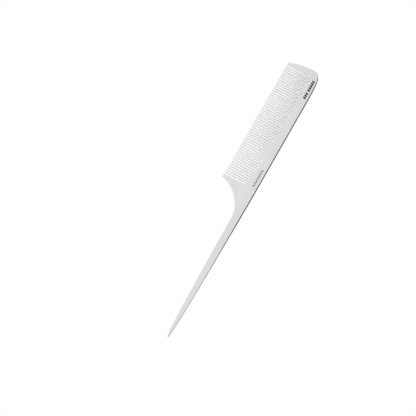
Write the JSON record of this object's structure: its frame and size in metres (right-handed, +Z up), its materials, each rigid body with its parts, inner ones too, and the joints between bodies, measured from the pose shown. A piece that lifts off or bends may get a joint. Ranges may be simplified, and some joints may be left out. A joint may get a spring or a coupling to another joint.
{
  "type": "rat tail comb",
  "caption": "Flat moulded rat tail comb with fine even teeth between solid end guards, a straight spine and a long slender tail that narrows to a blunt point.",
  "frame": {"origin": "middle of the bounding box in plan, on the flat underside that lies on the table", "axes": "+X along the comb from the tail to the head end, +Y from the straight spine edge to the tooth tips, +Z up out of the printed face"},
  "size_m": [0.2158, 0.0266, 0.0033],
  "materials": {
    "moulded_plastic": "satin white moulded plastic, smooth faces and lightly rounded edges",
    "black_ink": "thin black pad-printed ink",
    "grey_ink": "thin dark grey pad-printed ink"
  },
  "bodies": {
    "root": {"spine": "moulded_plastic", "head_end": "moulded_plastic", "shoulder": "moulded_plastic", "rear_guard": "moulded_plastic", "tail": "moulded_plastic", "tail_tip": "moulded_plastic", "tooth_01": "moulded_plastic", "tooth_02": "moulded_plastic", "tooth_03": "moulded_plastic", "tooth_04": "moulded_plastic", "tooth_05": "moulded_plastic", "tooth_06": "moulded_plastic", "tooth_07": "moulded_plastic", "tooth_08": "moulded_plastic", "tooth_09": "moulded_plastic", "tooth_10": "moulded_plastic", "tooth_11": "moulded_plastic", "tooth_12": "moulded_plastic", "tooth_13": "moulded_plastic", "tooth_14": "moulded_plastic", "tooth_15": "moulded_plastic", "tooth_16": "moulded_plastic", "tooth_17": "moulded_plastic", "tooth_18": "moulded_plastic", "tooth_19": "moulded_plastic", "tooth_20": "moulded_plastic", "tooth_21": "moulded_plastic", "tooth_22": "moulded_plastic", "tooth_23": "moulded_plastic", "tooth_24": "moulded_plastic", "tooth_25": "moulded_plastic", "tooth_26": "moulded_plastic", "tooth_27": "moulded_plastic", "tooth_28": "moulded_plastic", "tooth_29": "moulded_plastic", "tooth_30": "moulded_plastic", "tooth_31": "moulded_plastic", "tooth_32": "moulded_plastic", "tooth_33": "moulded_plastic", "tooth_34": "moulded_plastic", "tooth_35": "moulded_plastic", "tooth_36": "moulded_plastic", "tooth_37": "moulded_plastic", "tooth_38": "moulded_plastic", "tooth_39": "moulded_plastic", "tooth_40": "moulded_plastic", "tooth_41": "moulded_plastic", "tooth_42": "moulded_plastic", "tooth_43": "moulded_plastic", "tooth_44": "moulded_plastic", "tooth_45": "moulded_plastic", "tooth_46": "moulded_plastic", "tooth_47": "moulded_plastic", "tooth_48": "moulded_plastic", "tooth_49": "moulded_plastic", "tooth_50": "moulded_plastic", "print_wave": "grey_ink", "print_short_bars": "black_ink", "print_long_bars": "black_ink"}
  },
  "joints": []
}
